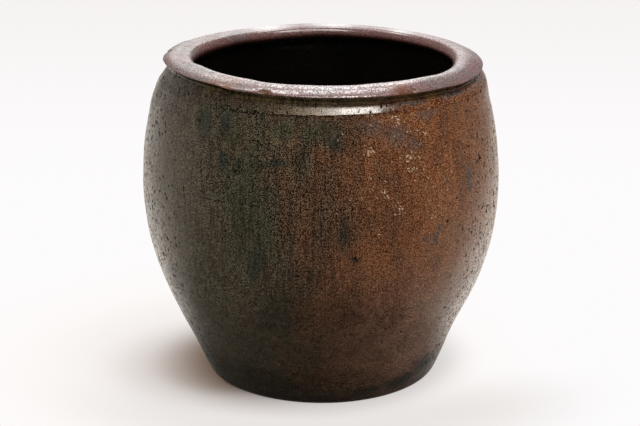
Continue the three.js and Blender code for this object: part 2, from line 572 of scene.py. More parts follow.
def select_open_rings(part, low, high, plug=False):
    """Selects the open rings between two heights: the small plug hole in the slab, or all but that."""
    bpy.ops.mesh.select_mode(type="EDGE")
    bpy.ops.mesh.select_all(action="DESELECT")
    bpy.ops.mesh.select_non_manifold()
    set_mode("OBJECT")
    points = part.data.vertices
    for edge in part.data.edges:
        if edge.select:
            place = points[edge.vertices[0]].co
            small = radius_of(place) < 2 * PLUG
            edge.select = low - HALF_BAND < place.z < high + HALF_BAND and small == plug
    set_mode("EDIT")


def bridge(part, low, high):
    select_open_rings(part, low, high)
    bpy.ops.mesh.bridge_edge_loops()
    bpy.ops.object.material_slot_assign()


def fold_to_corner(part):
    """Extrudes the ring at the coil's top down to the hidden corner between floor and wall."""
    scale = coil_corner[0] / coil_top[0]
    select_open_rings(part, COIL_TOP, COIL_TOP)
    bpy.ops.mesh.extrude_region_move(TRANSFORM_OT_translate={"value": (0, 0, FLOOR_TOP - COIL_TOP)})
    bpy.ops.transform.resize(value=(scale, scale, 1), center_override=(0, 0, 0))
    bpy.ops.object.material_slot_assign()


def close_plug(part, height):
    select_open_rings(part, height, height, plug=True)
    bpy.ops.mesh.extrude_region_move(TRANSFORM_OT_translate={"value": (0, 0, 0)})
    bpy.ops.mesh.merge(type="CENTER")


# %% Close the pieces
for course, bottom, top in zip(COURSES, SEAMS, SEAMS[1:]):
    open_part(parts[course])
    bridge(parts[course], top - LAP, top)
    if course == "foot_wall":
        fold_to_corner(parts[course])
    bridge(parts[course], FLOOR_TOP if course == "foot_wall" else bottom - LAP, bottom)
    set_mode("OBJECT")
open_part(parts["inside_corner"])
fold_to_corner(parts["inside_corner"])
bridge(parts["inside_corner"], FLOOR_TOP, FLOOR_TOP)
set_mode("OBJECT")
open_part(parts["turned_rim"])
bridge(parts["turned_rim"], inside_seam, RIM_SEAM)
set_mode("OBJECT")
open_part(parts["slab_foot"])
bridge(parts["slab_foot"], FLOOR_TOP, FLOOR_TOP)
close_plug(parts["slab_foot"], 0)
close_plug(parts["slab_foot"], FLOOR_TOP)
set_mode("OBJECT")
print("laps bridged, slab closed")

# %% Shade the pieces smooth and point their faces outwards
SHARP = math.radians(40)
for part in parts.values():
    open_part(part)
    bpy.ops.mesh.select_all(action="SELECT")
    bpy.ops.mesh.normals_make_consistent(inside=False)
    set_mode("OBJECT")
    bpy.ops.object.shade_smooth_by_angle(angle=SHARP)
    print(f"{part.name}: {len(part.data.polygons)} faces")

# %% Ride on the frame
for piece, node in PIECES.items():
    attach(parts[piece], "root")
    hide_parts(node)
print("pieces on the frame:", len(parts))

# %% [markdown]
# ## Wiring glazes
#
# Every finish is a tree of shader nodes. A few short helpers keep the wiring readable: one adds a
# node and links its inputs, the others are the steps that a glaze recipe repeats, such as a fade
# between two limits, a blend of two colours, or a noise with grains of a given size. A socket knows
# the tree that it belongs to (`id_data`), so these steps needn't be told where to add their nodes.

# %% Helpers that wire nodes
def put(tree, kind, inputs=None, **settings):
    """Adds a shader node. An input is given a value, or another node's socket to link to."""
    made = tree.nodes.new("ShaderNode" + kind)
    for name, value in settings.items():
        setattr(made, name, value)
    for name, value in (inputs or {}).items():
        if isinstance(value, bpy.types.NodeSocket):
            tree.links.new(value, made.inputs[name])
        else:
            made.inputs[name].default_value = value
    return made


def calc(operation, *values):
    tree = next(value.id_data for value in values if isinstance(value, bpy.types.NodeSocket))
    return put(tree, "Math", dict(enumerate(values)), operation=operation).outputs[0]


def total(first, *others):
    for other in others:
        first = calc("ADD", first, other)
    return first


def product(first, *others):
    for other in others:
        first = calc("MULTIPLY", first, other)
    return first


def fade(value, low, high, to_low=0.0, to_high=1.0):
    """A soft step from to_low at low to to_high at high."""
    limits = {"Value": value, "From Min": low, "From Max": high, "To Min": to_low, "To Max": to_high}
    return put(value.id_data, "MapRange", limits, interpolation_type="SMOOTHSTEP").outputs["Result"]


def blend(mask, under, over):
    return put(mask.id_data, "Mix", {0: mask, 6: under, 7: over}, data_type="RGBA").outputs[2]


def stretch(spot, scale, shift=(0, 0, 0)):
    return put(spot.id_data, "Mapping", {"Vector": spot, "Scale": scale, "Location": shift}).outputs[0]


def noise(spot, size, detail=1.0):
    """Soft noise from 0 to 1, with grains of a size in metres."""
    inputs = {"Vector": spot, "Scale": 1 / size, "Detail": detail}
    return put(spot.id_data, "TexNoise", inputs).outputs["Fac"]


def tone(red, green, blue):
    """A colour as it is read off a colour chart, made linear for the shader."""
    chart = [value / 255 for value in (red, green, blue)]
    linear = [((v + 0.055) / 1.055) ** 2.4 if v > 0.04045 else v / 12.92 for v in chart]
    return (*linear, 1.0)


def new_group(name, inputs, outputs):
    tree = bpy.data.node_groups.new(name, "ShaderNodeTree")
    for direction, sockets in (("INPUT", inputs), ("OUTPUT", outputs)):
        for socket, kind in sockets.items():
            tree.interface.new_socket(socket, in_out=direction, socket_type="NodeSocket" + kind)
    return tree, tree.nodes.new("NodeGroupInput"), tree.nodes.new("NodeGroupOutput")


def give(tree, out, values):
    for name, socket in values.items():
        tree.links.new(socket, out.inputs[name])
    print(f"{tree.name}: {len(tree.nodes)} nodes")


# %% [markdown]
# ## Where on the pot
#
# Glaze runs, flashing from the fire and bare patches lie at certain places of a pot. The first group
# tells a material where it is: the angle from the front, and the radius and height as thrown. It also
# gives copies that waver a few millimetres, so that everything drawn with them gets the ragged edge of
# running glaze, and a grid of cells the size of the paddle's squares.

# %% Group: place on the pot
MEAN_RADIUS = 0.19
PADDLE_ACROSS = 1.45 * MM
PADDLE_UP = 1.55 * MM
RAGGED = 22 * MM
SWAY = 3.0
CELL_SLICE = 0.35

place_group, _, place_out = new_group(
    "place on the pot",
    {},
    {"Spot": "Vector", "Turn": "Float", "Height": "Float", "Radius": "Float", "Ragged Turn": "Float",
     "Ragged Height": "Float", "Paddle Cells": "Vector"},
)
tree = place_group
spot = put(tree, "TexCoord").outputs["Object"]
axes = put(tree, "SeparateXYZ", {0: spot}).outputs
turn = calc("ARCTAN2", axes["X"], product(axes["Y"], -1.0))
note = put(tree, "Attribute", attribute_name="thrown").outputs["Vector"]
as_thrown = put(tree, "SeparateXYZ", {0: note}).outputs
radius, height = as_thrown["X"], as_thrown["Z"]
drift = put(tree, "TexNoise", {"Vector": spot, "Scale": 45.0, "Detail": 5.0, "Roughness": 0.72})
drifts = put(tree, "SeparateXYZ", {0: drift.outputs["Color"]}).outputs
sideways = calc("MULTIPLY_ADD", drifts["X"], RAGGED / MEAN_RADIUS, -RAGGED / MEAN_RADIUS / 2)
upwards = calc("MULTIPLY_ADD", drifts["Y"], RAGGED, -RAGGED / 2)
sway = product(drifts["Z"], SWAY)
cells = put(tree, "CombineXYZ", {
    "X": calc("MULTIPLY_ADD", turn, MEAN_RADIUS / PADDLE_ACROSS, sway),
    "Y": calc("MULTIPLY_ADD", height, 1 / PADDLE_UP, sway),
    "Z": CELL_SLICE,
}).outputs[0]
give(tree, place_out, {
    "Spot": spot, "Turn": turn, "Height": height, "Radius": radius, "Paddle Cells": cells,
    "Ragged Turn": total(turn, sideways), "Ragged Height": total(height, upwards),
})

# %% Group: one blot of glaze
blot_group, blot_in, blot_out = new_group(
    "glaze blot",
    {"Turn": "Float", "Height": "Float", "Middle Turn": "Float", "Middle Height": "Float",
     "Half Width": "Float", "Half Height": "Float", "Softness": "Float"},
    {"Mask": "Float"},
)
tree = blot_group
given = blot_in.outputs
across = product(calc("SUBTRACT", given["Turn"], given["Middle Turn"]), MEAN_RADIUS)
across = calc("DIVIDE", across, given["Half Width"])
along = calc("DIVIDE", calc("SUBTRACT", given["Height"], given["Middle Height"]), given["Half Height"])
away = calc("SQRT", calc("MULTIPLY_ADD", across, across, product(along, along)))
outer = total(given["Softness"], 1.0)
inner = calc("SUBTRACT", 1.0, given["Softness"])
give(tree, blot_out, {"Mask": fade(away, outer, inner)})

# %% [markdown]
# ## Speckle and small pits
#
# Two more effects are shared. The paddle was cut with a grid of grooves, and the glaze lies dark in
# them and pale on the squares between, so the wall is speckled in rows: cells of a Voronoi texture
# with a pale dot in each, some brighter than others. And gas leaves small open pits, a few of them
# in every cell of a coarser Voronoi texture.

# %% Group: kiln speckle
MEAN_GRAIN = 0.33
speckle_group, speckle_in, speckle_out = new_group(
    "kiln speckle",
    {"Spot": "Vector", "Cells": "Vector"},
    {"Grain": "Float", "Coarse": "Float", "Cloud": "Float"},
)
tree = speckle_group
given = speckle_in.outputs
grains = put(tree, "TexVoronoi", {"Vector": given["Cells"], "Scale": 1.0, "Randomness": 0.65}).outputs
luck = put(tree, "SeparateColor", {0: grains["Color"]}).outputs[0]
bright = calc("MULTIPLY_ADD", luck, 0.9, 0.4)
give(tree, speckle_out, {
    "Grain": product(fade(grains["Distance"], 0.68, 0.15), bright),
    "Coarse": fade(noise(given["Spot"], 9 * MM, 3.0), 0.3, 0.7),
    "Cloud": fade(noise(given["Spot"], 55 * MM, 3.0), 0.32, 0.68),
})

# %% Group: open pits
pit_group, pit_in, pit_out = new_group(
    "open pits", {"Spot": "Vector", "Spacing": "Float", "Share": "Float"}, {"Mask": "Float", "Bowl": "Float"}
)
tree = pit_group
given = pit_in.outputs
cells = put(tree, "TexVoronoi", {"Vector": given["Spot"], "Scale": calc("DIVIDE", 1.0, given["Spacing"])})
luck = put(tree, "SeparateColor", {0: cells.outputs["Color"]}).outputs[0]
size = fade(luck, calc("SUBTRACT", 1.0, given["Share"]), 1.0, 0.0, 0.3)
size = total(size, 0.001)
depth = calc("SUBTRACT", 1.0, calc("DIVIDE", cells.outputs["Distance"], size))
give(tree, pit_out, {"Mask": fade(depth, 0.0, 0.3), "Bowl": fade(depth, 0.0, 0.9)})

# %% Helpers that open and close a finish
def open_finish(name, specular, specular_tint=(1, 1, 1)):
    material = finishes[name]
    material.use_nodes = True
    tree = material.node_tree
    shader = tree.nodes["Principled BSDF"]
    shader.inputs["Specular IOR Level"].default_value = specular
    shader.inputs["Specular Tint"].default_value = (*specular_tint, 1)
    place = put(tree, "Group", node_tree=place_group).outputs
    return tree, shader, place


def add_speckle(place, grain=None):
    """The speckle, on the paddle's squares or with grains of a size all over."""
    spot = place["Spot"]
    cells = stretch(spot, (1 / grain,) * 3) if grain else place["Paddle Cells"]
    return put(spot.id_data, "Group", {"Spot": spot, "Cells": cells}, node_tree=speckle_group).outputs


def add_pits(spot, spacing, share):
    inputs = {"Spot": spot, "Spacing": spacing, "Share": share}
    return put(spot.id_data, "Group", inputs, node_tree=pit_group).outputs


def blot(place, turn, height, half_width, half_height, softness=0.35):
    """A mask for one patch: its angle from the front in degrees, and the rest in millimetres."""
    return put(place["Spot"].id_data, "Group", {
        "Turn": place["Ragged Turn"], "Height": place["Ragged Height"],
        "Middle Turn": math.radians(turn), "Middle Height": height * MM,
        "Half Width": half_width * MM, "Half Height": half_height * MM, "Softness": softness,
    }, node_tree=blot_group).outputs["Mask"]


def set_finish(tree, shader, color, roughness, height):
    tree.links.new(color, shader.inputs["Base Color"])
    tree.links.new(roughness, shader.inputs["Roughness"])
    bump = put(tree, "Bump", {"Height": height, "Distance": 1.0, "Strength": 1.0})
    tree.links.new(bump.outputs["Normal"], shader.inputs["Normal"])


# %% [markdown]
# ## The ash glaze
#
# The fire came from one side. There the iron in the glaze flashed to rust, while the other half
# stayed olive black, and between them it turns brown down the front. Ash that settled on the shoulder
# melted and ran down in a scalloped curtain of green, with a few dark drops.
#
# A glaze is mixed here as a pair of colours, for its dark and its pale grains, which differ only in
# brightness. Glazes are laid over one another as pairs, and the grains are chosen last of all.

# %% Ash glaze: the two halves
def pair(red, green, blue, grain):
    """The dark and pale grains of one glaze: its colour, and how strongly it is speckled."""
    dark = [max(5, value - 0.75 * grain) for value in (red, green, blue)]
    pale = [value + 1.4 * grain for value in (red, green, blue)]
    return (tone(*dark), tone(*pale))


def lay(coat, mask, glaze):
    """Lays a glaze over a coat where the mask is, grain by grain."""
    return tuple(blend(mask, under, over) for under, over in zip(coat, glaze))


OLIVE = pair(43, 37, 19, 44)
OLIVE_GREEN = pair(43, 42, 24, 42)
OLIVE_BROWN = pair(47, 35, 16, 44)
BROWN = pair(70, 41, 18, 38)
RUST = pair(111, 63, 29, 33)
RUST_GREY = pair(98, 63, 38, 30)
RUST_PLUM = pair(86, 49, 28, 30)
LOW_BROWN = pair(98, 68, 50, 34)

tree, shader, place = open_finish("ash_glaze", 0.5, (0.14, 0.11, 0.07))
shader.inputs["IOR"].default_value = 2.0
speckle = add_speckle(place)
side = calc("SINE", place["Ragged Turn"])
streaks = noise(stretch(place["Spot"], (1, 1, 0.16)), 14 * MM, 3.0)
uneven = total(
    calc("MULTIPLY_ADD", speckle["Cloud"], 0.25, -0.125),
    calc("MULTIPLY_ADD", streaks, 0.6, -0.3),
)
mixed = fade(place["Height"], 120 * MM, 40 * MM, 1.0, 0.65)
warmth = product(total(side, uneven), mixed)
hue = noise(stretch(place["Spot"], (1, 1, 0.6), (0.7, 0.2, 0.4)), 26 * MM, 3.0)
rusty = lay(RUST, fade(hue, 0.5, 0.66, 0.0, 0.7), RUST_GREY)
rusty = lay(rusty, fade(hue, 0.46, 0.34, 0.0, 0.7), RUST_PLUM)
rusty = lay(rusty, fade(place["Ragged Height"], 220 * MM, 80 * MM), LOW_BROWN)
olive = lay(OLIVE, fade(hue, 0.5, 0.64, 0.0, 0.7), OLIVE_GREEN)
olive = lay(olive, fade(hue, 0.46, 0.34, 0.0, 0.7), OLIVE_BROWN)
coat = lay(olive, fade(warmth, -0.36, 0.12), BROWN)
coat = lay(coat, fade(warmth, 0.0, 0.54), rusty)

# %% Ash glaze: runs and patches
# Grey glaze on the left cheek; along the left side it is partly painted sheen.
CHEEK_GREY_AND_SHEEN = pair(82, 73, 64, 24)
GREEN = pair(50, 54, 38, 24)
TEAL = pair(29, 43, 41, 14)
TAN = pair(96, 80, 56, 24)
GREY = pair(78, 70, 66, 20)
BLACK_GREEN = pair(27, 32, 25, 8)
FOOT_TAN = pair(82, 62, 46, 20)
BARE = pair(104, 74, 66, 14)
LEDGE_BROWN = pair(78, 64, 52, 20)
GROOVE_OLIVE = pair(104, 92, 66, 20)
BEAD_YELLOW = pair(98, 84, 46, 16)
BLUE_GREY = pair(62, 58, 57, 18)
PATCHES = [
    (CHEEK_GREY_AND_SHEEN, 0.4, [(-50, 285, 40, 60, 0.7), (-62, 220, 30, 110, 0.8), (-58, 320, 38, 18, 0.8)]),
    (RUST, 0.6, [(64, 282, 36, 54, 0.8)]),
    (RUST_PLUM, 0.5, [(24, 255, 26, 42, 0.9)]),
    (TAN, 0.45, [(-43, 322, 12, 16, 0.3), (-28, 306, 17, 20, 0.3), (-12, 318, 16, 14, 0.3),
                 (-21.8, 205, 5, 12, 0.4)]),
    (GREEN, 0.7, [(-43, 326, 9, 13, 0.4), (-28, 311, 13, 17, 0.4), (-12, 322, 13, 11, 0.4),
                  (1, 320, 20, 12, 0.6), (-22, 240, 22, 50, 0.8)]),
    (TEAL, 0.75, [(-31.5, 284, 5, 9, 0.7), (-25.2, 284, 3, 9, 0.7), (4.6, 309, 6, 8, 0.9),
                  (6.4, 212, 4, 16, 0.9), (-41, 319, 8, 12, 0.9), (-33, 323, 6, 10, 0.9),
                  (-14, 288, 14, 4, 0.8), (-20, 180, 8, 20, 0.9)]),
    (GREY, 0.6, [(24.5, 315, 14, 11, 0.9), (16.7, 321, 12, 9, 0.9), (30, 304, 7, 8, 0.9),
                 (36, 329, 13, 5, 0.6)]),
    (BLACK_GREEN, 0.9, [(53, 28, 28, 13, 0.7), (37, 19, 32, 8, 0.7), (20, 16, 28, 6, 0.7),
                        (10.5, 188, 2.5, 2.5, 0.4)]),
    (FOOT_TAN, 0.8, [(4, 17, 38, 10, 0.8)]),
    (BARE, 0.85, [(54, 6, 34, 9, 0.3), (-44, 0, 34, 4, 0.4)]),
    (LEDGE_BROWN, 0.8, [(2, 341, 80, 6, 0.5), (-28, 343, 36, 4, 0.5)]),
    (GROOVE_OLIVE, 0.8, [(0, 350, 110, 5, 0.4)]),
    (BEAD_YELLOW, 0.7, [(39, 347, 36, 2.5, 0.4), (-38, 347, 56, 2, 0.5)]),
    (BLUE_GREY, 0.8, [(33, 341, 22, 4, 0.5), (52, 343, 24, 5, 0.5), (53, 252, 3.4, 15, 0.3),
                      (38.6, 206, 2.4, 8, 0.4), (37.2, 196, 2.4, 8, 0.4), (33, 200, 3, 5, 0.6)]),
]
for glaze, strength, blots in PATCHES:
    mask = None
    for one in blots:
        patch = blot(place, *one)
        mask = patch if mask is None else calc("MAXIMUM", mask, patch)
    coat = lay(coat, product(mask, strength), glaze)

# %% Ash glaze: grains, depth of colour and painted shade
# Black for painted shade: in the pits and specks, and in the ash glaze's darkening.
PIT_AND_SHADE_BLACK = tone(14, 11, 8)
TRIM_PITCH = 2.6 * MM
struck = fade(noise(place["Spot"], 48 * MM, 2.0), 0.34, 0.62, 0.65, 1.0)
on_rim = fade(place["Height"], RIM_SEAM - 2 * MM, RIM_SEAM)
contrast = total(
    fade(place["Height"], 20 * MM, 130 * MM, 3.0, 1.65),
    fade(place["Height"], 170 * MM, 300 * MM, 0.0, 0.75),
)
contrast = product(contrast, struck, fade(on_rim, 0.0, 1.0, 1.0, 0.65))
loose_speckle = add_speckle(place, 1.9 * MM)
speckled = put(tree, "Mix", {0: on_rim, 2: speckle["Grain"], 3: loose_speckle["Grain"]}).outputs[0]
grain = calc("SUBTRACT", speckled, MEAN_GRAIN)
grain = calc("MULTIPLY_ADD", grain, contrast, MEAN_GRAIN)
glaze = blend(grain, *coat)
trim = calc("SINE", product(place["Height"], math.tau / TRIM_PITCH))
trim = product(trim, fade(place["Height"], 54 * MM, 34 * MM))
# Painted shade on the lower wall, where less of the light from above falls; weaker on the sides.
left_rise = fade(side, -0.2, -0.6, 0.0, 60 * MM)
lower = product(
    fade(total(place["Ragged Height"], left_rise), 200 * MM, 110 * MM, 0.0, 0.48),
    fade(side, 0.15, 0.6, 1.0, 0.25),
    fade(side, -0.4, -0.75, 1.0, 0.6),
)
# Painted shade in the undercut groove under the lip.
groove_painted_shade = product(
    fade(place["Height"], RIM_SEAM + 9 * MM, RIM_SEAM + 11 * MM),
    fade(place["Radius"], groove + 4 * MM, groove + 1.5 * MM, 0.0, 0.4),
)
scored = noise(stretch(place["Spot"], (1, 0.3, 0.08)), 2.4 * MM)
scores = product(
    fade(scored, 0.52, 0.4, 0.0, 0.34),
    fade(place["Height"], 120 * MM, 180 * MM),
    fade(side, 0.3, 0.0, 0.3, 1.0),
)
# Darkening towards black: painted shade low, in the groove, near the floor and in the trim grooves,
# plus darker scored lines and random mottle.
painted_shade_and_dark_glaze = total(
    lower,
    groove_painted_shade,
    scores,
    # Painted shade at the foot, next to the floor.
    fade(place["Ragged Height"], 38 * MM, 6 * MM, 0.0, 0.16),
    # Painted shade in the turned trim grooves.
    fade(trim, 0.0, 0.8, 0.0, 0.5),
    fade(speckle["Coarse"], 0.0, 1.0, 0.12, 0.0),
    fade(speckle["Cloud"], 0.0, 1.0, 0.1, 0.0),
)
glaze = blend(painted_shade_and_dark_glaze, glaze, PIT_AND_SHADE_BLACK)

# %% Ash glaze: grit, pits and relief
CRUMB = tone(206, 184, 156)
FOOT_CRUMB = tone(150, 108, 74)
grit_mask = fade(put(tree, "Attribute", attribute_name="grit").outputs["Fac"], 0.1, 0.85)
grit_mask = product(grit_mask, fade(speckle["Grain"], 0.0, 0.5, 0.45, 1.0))
crumb = blend(fade(place["Height"], 60 * MM, 40 * MM), CRUMB, FOOT_CRUMB)
glaze = blend(grit_mask, glaze, crumb)
holes = fade(put(tree, "Attribute", attribute_name="pits").outputs["Fac"], 0.15, 0.45)
at_sides = fade(calc("ABSOLUTE", side), 0.6, 0.95, 0.1, 1.0)
small = add_pits(stretch(place["Spot"], (1, 0.4, 0.6), (0.3, 0.1, 0.2)), 3.6 * MM, 0.97)
large = add_pits(stretch(place["Spot"], (1, 0.5, 0.5), (0.5, 0.7, 0.1)), 5.5 * MM, 0.5)
pits = calc("MAXIMUM", small["Mask"], large["Mask"])
bowls = calc("MAXIMUM", small["Bowl"], large["Bowl"])
ledge_specks = add_pits(place["Spot"], 3 * MM, 0.6)
ledge_foot = fade(place["Height"], RIM_SEAM, RIM_SEAM + 1.5 * MM)
ledge_back = fade(place["Height"], RIM_SEAM + 9.6 * MM, RIM_SEAM + 8 * MM)
on_ledge = product(ledge_foot, ledge_back)
pitted = calc("MAXIMUM", at_sides, on_ledge)
pits = calc("MAXIMUM", pits, product(ledge_specks["Mask"], on_ledge))
pit_mask = calc("MAXIMUM", product(pits, pitted), holes)
# Painted shade in the open pits, the pressed holes and the ledge's specks.
glaze = blend(pit_mask, glaze, PIT_AND_SHADE_BLACK)
shine = total(
    fade(speckle["Coarse"], 0.0, 1.0, 0.16, 0.26),
    fade(speckle["Grain"], 0.0, 0.6, 0.1, 0.0),
    product(pit_mask, 0.8),
)
blotchy = noise(stretch(place["Spot"], (1, 0.4, 0.8)), 1.5 * MM, 2.0)
patchy = noise(stretch(place["Spot"], (1, 0.3, 0.9), (0.2, 0.6, 0.1)), 2.1 * MM, 2.0)
wet_ends = product(
    fade(place["Turn"], math.radians(-8), math.radians(10), 0.0, 0.9),
    fade(place["Ragged Turn"], math.radians(28), math.radians(20)),
    fade(blotchy, 0.38, 0.52, 0.4, 1.0),
)
low = fade(place["Height"], 260 * MM, 170 * MM, 0.03, 0.13)
right_side = fade(total(side, low), 0.81, 0.99)
left_side = fade(calc("SUBTRACT", side, low), -0.8, -1.03)
wet_sides = product(
    calc("MAXIMUM", right_side, left_side),
    fade(place["Height"], 330 * MM, 190 * MM, 0.55, 1.0),
    fade(patchy, 0.45, 0.52),
    fade(scored, 0.35, 0.55, 0.6, 1.0),
)
wet = calc("MAXIMUM", product(on_ledge, wet_ends), wet_sides)
wet = product(wet, calc("SUBTRACT", 1.0, pit_mask))
tree.links.new(wet, shader.inputs["Coat Weight"])
shader.inputs["Coat Roughness"].default_value = 0.26
relief = total(
    product(speckle["Coarse"], 0.06 * MM),
    product(speckled, contrast, 0.08 * MM),
    product(trim, -0.08 * MM),
    product(bowls, pitted, -1.4 * MM),
)
set_finish(tree, shader, glaze, shine, relief)

# %% [markdown]
# ## The wiped rim
#
# The potter wipes the rim so that crocks can be stacked mouth to mouth without sticking. What glaze is
# left is thin and glossy, mauve brown. Where it rolls down into the mouth it is painted red-brown and
# then black: partly the black inside glaze, partly painted shade. Under the lip the wall's glaze comes
# up over the ledge, and the lip's lower edge is painted darker as shade.

# %% Rim glaze: the wiped top
MAUVE = pair(108, 77, 74, 20)
RIM_GREY = pair(98, 86, 82, 17)
RIM_RUST = pair(124, 78, 56, 17)
CHIP_BROWN = pair(84, 54, 38, 14)
MOUTH_SHADE_RED = pair(66, 34, 29, 8)
MOUTH_BLACK_AND_SHADE = pair(12, 10, 8, 2)
LIP_UNDERSIDE_SHADE = pair(74, 64, 56, 12)
RIM_PATCHES = ((-37, 20, RIM_RUST), (28, 14, RIM_RUST), (-66, 24, RIM_GREY), (47, 24, RIM_GREY))

tree, shader, place = open_finish("rim_glaze", 0.25)
speckle = add_speckle(place, 1.9 * MM)
coat = lay(MAUVE, fade(speckle["Cloud"], 0.5, 0.15, 0.0, 0.8), RIM_GREY)
for turn, half_width, glaze in RIM_PATCHES:
    patch = blot(place, turn, 357, half_width, 14, 0.5)
    coat = lay(coat, product(patch, 0.6), glaze)
# Down the roll into the mouth: red-brown painted shade, then black, partly glaze and partly shade.
sunk = calc("MULTIPLY_ADD", speckle["Cloud"], 1.2 * MM, place["Height"])
inner_half = fade(place["Radius"], mouth + 13 * MM, mouth + 9 * MM)
mouth_red_shade = product(fade(sunk, CREST - 4 * MM, CREST - 10 * MM), inner_half)
coat = lay(coat, mouth_red_shade, MOUTH_SHADE_RED)
mouth_black_and_shade = product(fade(sunk, CREST - 7 * MM, CREST - 13 * MM), inner_half)
coat = lay(coat, mouth_black_and_shade, MOUTH_BLACK_AND_SHADE)

# %% Rim glaze: chips, specks, painted shade and relief
outside = fade(place["Radius"], groove - 6 * MM, groove - 2 * MM)
# Painted shade on the lip's lower edge, under its overhang.
lip_edge_painted_shade = product(fade(place["Height"], CREST - 7.6 * MM, CREST - 8.5 * MM), outside)
coat = lay(coat, lip_edge_painted_shade, LIP_UNDERSIDE_SHADE)
matt = 0.0
for turn, half_width, _ in CHIPS:
    chip = product(blot(place, turn, 354, 4.6 * half_width, 3.6, 0.5), outside)
    matt = calc("MAXIMUM", matt, chip)
coat = lay(coat, matt, CHIP_BROWN)
rim_color = blend(speckle["Grain"], *coat)
specks = add_pits(place["Spot"], 2.7 * MM, 0.6)
# Painted shade in the rim's small pits.
rim_color = blend(specks["Mask"], rim_color, PIT_AND_SHADE_BLACK)
wiped = fade(noise(stretch(place["Spot"], (1, 0.5, 1)), 2 * MM, 2.0), 0.44, 0.55)
dusty = noise(stretch(place["Spot"], (1, 0.5, 1)), 1.2 * MM)
wiped = product(wiped, fade(dusty, 0.4, 0.58, 0.55, 1.2))
away = calc("ABSOLUTE", place["Turn"])
rim_wet = product(wiped, fade(away, math.radians(30), math.radians(75), 1.0, 0.25))
for turn, half_width in ((-157, 26), (174, 28), (174 - 360, 28), (143, 18)):
    rim_wet = calc("MAXIMUM", rim_wet, blot(place, turn, 359.5, half_width, 6, 0.9))
rim_wet = product(rim_wet, calc("SUBTRACT", 1.0, calc("MAXIMUM", matt, specks["Mask"])))
tree.links.new(rim_wet, shader.inputs["Coat Weight"])
shader.inputs["Coat Roughness"].default_value = 0.15
rim_shine = fade(speckle["Coarse"], 0.0, 1.0, 0.18, 0.32)
rim_relief = total(
    product(speckle["Coarse"], 0.05 * MM),
    product(speckle["Grain"], 0.12 * MM),
    product(specks["Bowl"], -0.25 * MM),
)
set_finish(tree, shader, rim_color, rim_shine, rim_relief)

# %% [markdown]
# ## Black inside, bare clay below
#
# The inside has a thick black slip glaze that swallows almost all light. The laps, which nobody
# glazes, are bare stoneware: brick red to mauve, with dark iron specks. The underside, though nobody
# glazes it either, keeps the ash glaze here.

# %% Inside glaze and raw clay
INSIDE_BLACK = tone(22, 20, 17)
INSIDE_BROWN = tone(32, 25, 20)
tree, shader, place = open_finish("black_glaze", 0.3)
speckle = add_speckle(place, 3 * MM)
inside = blend(speckle["Cloud"], INSIDE_BLACK, INSIDE_BROWN)
turning = calc("SINE", product(place["Ragged Height"], math.tau / (9 * MM)))
inside_relief = total(product(turning, 0.12 * MM), product(speckle["Coarse"], 0.2 * MM))
set_finish(tree, shader, inside, fade(speckle["Coarse"], 0.0, 1.0, 0.22, 0.4), inside_relief)

CLAY_DARK = tone(92, 66, 58)
CLAY_LIGHT = tone(140, 108, 98)
IRON_SPECK = tone(56, 40, 32)
tree, shader, place = open_finish("raw_clay", 0.3)
speckle = add_speckle(place, 1.8 * MM)
clay = blend(speckle["Coarse"], CLAY_DARK, CLAY_LIGHT)
clay = blend(fade(speckle["Grain"], 0.6, 0.9, 0.0, 0.6), clay, IRON_SPECK)
clay_relief = total(product(speckle["Grain"], 0.15 * MM), product(speckle["Coarse"], 0.2 * MM))
set_finish(tree, shader, clay, fade(speckle["Grain"], 0.0, 1.0, 0.75, 0.95), clay_relief)

# %% [markdown]
# ## Studio
#
# The crock stands on a white floor in soft light: a softbox overhead and a little to the right, three
# reflectors that show only in the glaze, and a dim white room. The floor stays a real lit surface beside
# the pot, so it keeps the shadow, and further away it fades to plain white. Around the shadow's core the
# floor is also painted brown, a painted shadow; just in front of the pot its white is painted darker as
# shade, and near the shadow warmer, as painted warm bounce. To glossy rays the floor glows with a
# painted reflection of itself: dark in front and in the shadow, bright behind.

# %% Camera
scene = bpy.context.scene
scene.view_settings.view_transform = "Standard"
CAMERA_PLACE = (-0.0011, -1.9, 0.7963)
CAMERA_PITCH = 0.316
FOCAL_PIXELS = 1774.6
PHOTO_WIDTH = 640
SENSOR_WIDTH = 36
bpy.ops.object.camera_add(location=CAMERA_PLACE, rotation=(math.pi / 2 - CAMERA_PITCH, 0, 0))
camera = bpy.context.object
camera.data.sensor_width = SENSOR_WIDTH
camera.data.lens = SENSOR_WIDTH * FOCAL_PIXELS / PHOTO_WIDTH
scene.camera = camera

# %% Floor
SHADOW_CORE = (-0.103, -0.02, 0)
FOOT_EDGE = wall_radius(0)
PALE_FLOOR = (0.86, 0.81, 0.78, 1)
PAINTED_SHADOW_BROWN = (0.6, 0.48, 0.4, 1)
WHITE = (0.98, 0.965, 0.97, 1)
NEAR_WHITE = (0.98, 0.94, 0.92, 1)
WARM_WHITE = (0.98, 0.9, 0.82, 1)
DULL_WHITE = (0.92, 0.888, 0.888, 1)
FRONT_SHADE_WHITE = (0.82, 0.785, 0.765, 1)
bpy.ops.object.select_all(action="DESELECT")
bpy.ops.mesh.primitive_plane_add(size=12, location=(0, 0, 0))
floor = bpy.context.object
floor.name = "studio_floor"
floor_paint = bpy.data.materials.new("white_floor")
floor.data.materials.append(floor_paint)
floor_paint.use_nodes = True
tree = floor_paint.node_tree
tree.nodes.clear()
here = put(tree, "TexCoord").outputs["Object"]
across, depth, _ = put(tree, "SeparateXYZ", {0: here}).outputs
distance = put(tree, "VectorMath", {0: here}, operation="LENGTH").outputs["Value"]
from_core = put(tree, "VectorMath", {0: here, 1: SHADOW_CORE}, operation="DISTANCE").outputs["Value"]
